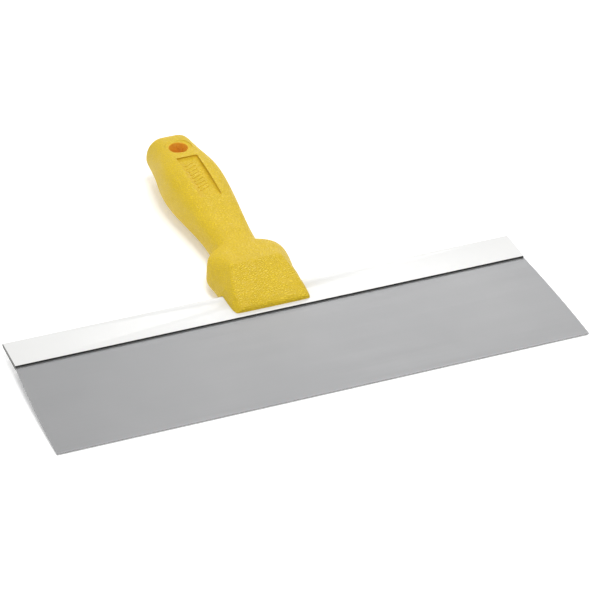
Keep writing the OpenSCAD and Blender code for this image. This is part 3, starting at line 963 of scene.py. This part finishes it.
def make_spring_steel():
    material, tree, shader = new_material("ground_steel", Metallic=1.0)
    drift = use_group(tree, cloudy, Scale=14.0)["Value"]
    lines = use_group(tree, grind_lines)["Lines"]
    worn = use_group(tree, edge_wear, Reach=0.0005, Patch_Scale=700.0, Gain=1.0)["Mask"]
    steel = mixed(tree, drift, STEEL, BRIGHT_STEEL)
    lined = mixed(tree, maths(tree, "MULTIPLY", lines, 0.25), steel, GROUND_LINE)
    rubbed = mixed(tree, maths(tree, "MULTIPLY", worn, 0.3), lined, RUBBED_STEEL)
    tree.links.new(rubbed, shader["Base Color"])
    tree.links.new(maths(tree, "MULTIPLY_ADD", lines, 0.2, 0.38), shader["Roughness"])
    bump = add_node(tree, "Bump", {"Height": lines, "Strength": 0.25, "Distance": 0.00001})
    tree.links.new(bump.outputs["Normal"], shader["Normal"])
    return material


def make_screw_steel():
    material, tree, shader = new_material("plated_steel", Metallic=1.0)
    drift = use_group(tree, cloudy, Scale=400.0)["Value"]
    deep = use_group(tree, shelter, Reach=0.0015, Gain=1.6)["Mask"]
    zinc = mixed(tree, drift, ZINC, BRIGHT_ZINC)
    # painted shade: sheltered recesses of the screws are mixed towards dark grey
    tree.links.new(mixed(tree, deep, zinc, RECESS_SHADE_GREY), shader["Base Color"])
    tree.links.new(use_group(tree, cloudy, Scale=1200.0, Low=0.25, High=0.45)["Value"], shader["Roughness"])
    return material


spring_steel = make_spring_steel()
screw_steel = make_screw_steel()
print("finishes", spring_steel.name, "and", screw_steel.name)

# %% Dress the pieces
def dress(piece, *materials):
    """Gives a piece its materials and keeps the slot that each face asks for."""
    indices = [f.material_index for f in piece.data.polygons]
    piece.data.materials.clear()
    for material in materials:
        piece.data.materials.append(material)
    for face, index in zip(piece.data.polygons, indices):
        face.material_index = min(index, len(materials) - 1)


for piece in (shell, base):
    dress(piece, grip_plastic)
dress(rail, rail_coat, rail_cut_edge)
dress(blade, spring_steel)
for piece in screws:
    dress(piece, screw_steel)
print("materials:", sorted(m.name for m in bpy.data.materials if m.users))

# %% [markdown]
# The knife lies on a sheet of white paper that is lit a little from below, like a light table. That
# faint glow keeps the floor as white as the space behind it, and leaves only a soft shadow. The paper
# lies a hair below the knife's lowest point, so that the two don't share a plane.

# %% Floor
FLOOR_SIZE = 8.0
FLOOR_Z = -0.0004
PAPER, BRIGHT_PAPER = (0.93, 0.93, 0.93), (0.95, 0.95, 0.95)
deselect_all()
bpy.ops.mesh.primitive_plane_add(size=FLOOR_SIZE, location=(0, 0, FLOOR_Z))
floor = name_active("floor")
paper, tree, shader = new_material("floor_paper", Roughness=0.95, Specular_IOR_Level=0.1,
                                   Emission_Strength=0.2)
paper_drift = use_group(tree, cloudy, Scale=6.0)["Value"]
tree.links.new(mixed(tree, paper_drift, PAPER, BRIGHT_PAPER), shader["Base Color"])
dress(floor, paper)
print("floor at", FLOOR_Z / MM, "mm")

# %% [markdown]
# The light is that of a small product studio. A bright even sky does most of the work. A large lamp
# overhead models the grip's back, one behind draws the ridge of the head, and a weak one on the left
# keeps the near side of the handle from going dull. All three are large discs, so that no shadow has a
# hard edge. The Standard view shows colours as they are mixed, with no film curve over them.

# %% Light
SKY_STRENGTH = 0.6
world = bpy.data.worlds.new("studio")
bpy.context.scene.world = world
world.use_nodes = True
sky = world.node_tree.nodes["Background"].inputs
sky["Color"].default_value = (1, 1, 1, 1)
sky["Strength"].default_value = SKY_STRENGTH


def lamp(name, place, size, power):
    """A round soft lamp that faces the knife; size is its width in metres, power is in watts."""
    data = bpy.data.lights.new(name, "AREA")
    data.shape = "DISK"
    data.size = size
    data.energy = power
    light = bpy.data.objects.new(name, data)
    light.location = place
    light.rotation_euler = (-Vector(place)).to_track_quat("-Z", "Y").to_euler()
    bpy.context.scene.collection.objects.link(light)
    return light


lamp("back_softbox", (0.95, 1.9, 1.4), 1.0, 13)
lamp("top_softbox", (0.3, -0.2, 2.1), 1.2, 25)
lamp("left_softbox", (-1.9, 0.2, 0.9), 1.4, 7)
bpy.context.scene.view_settings.view_transform = "Standard"
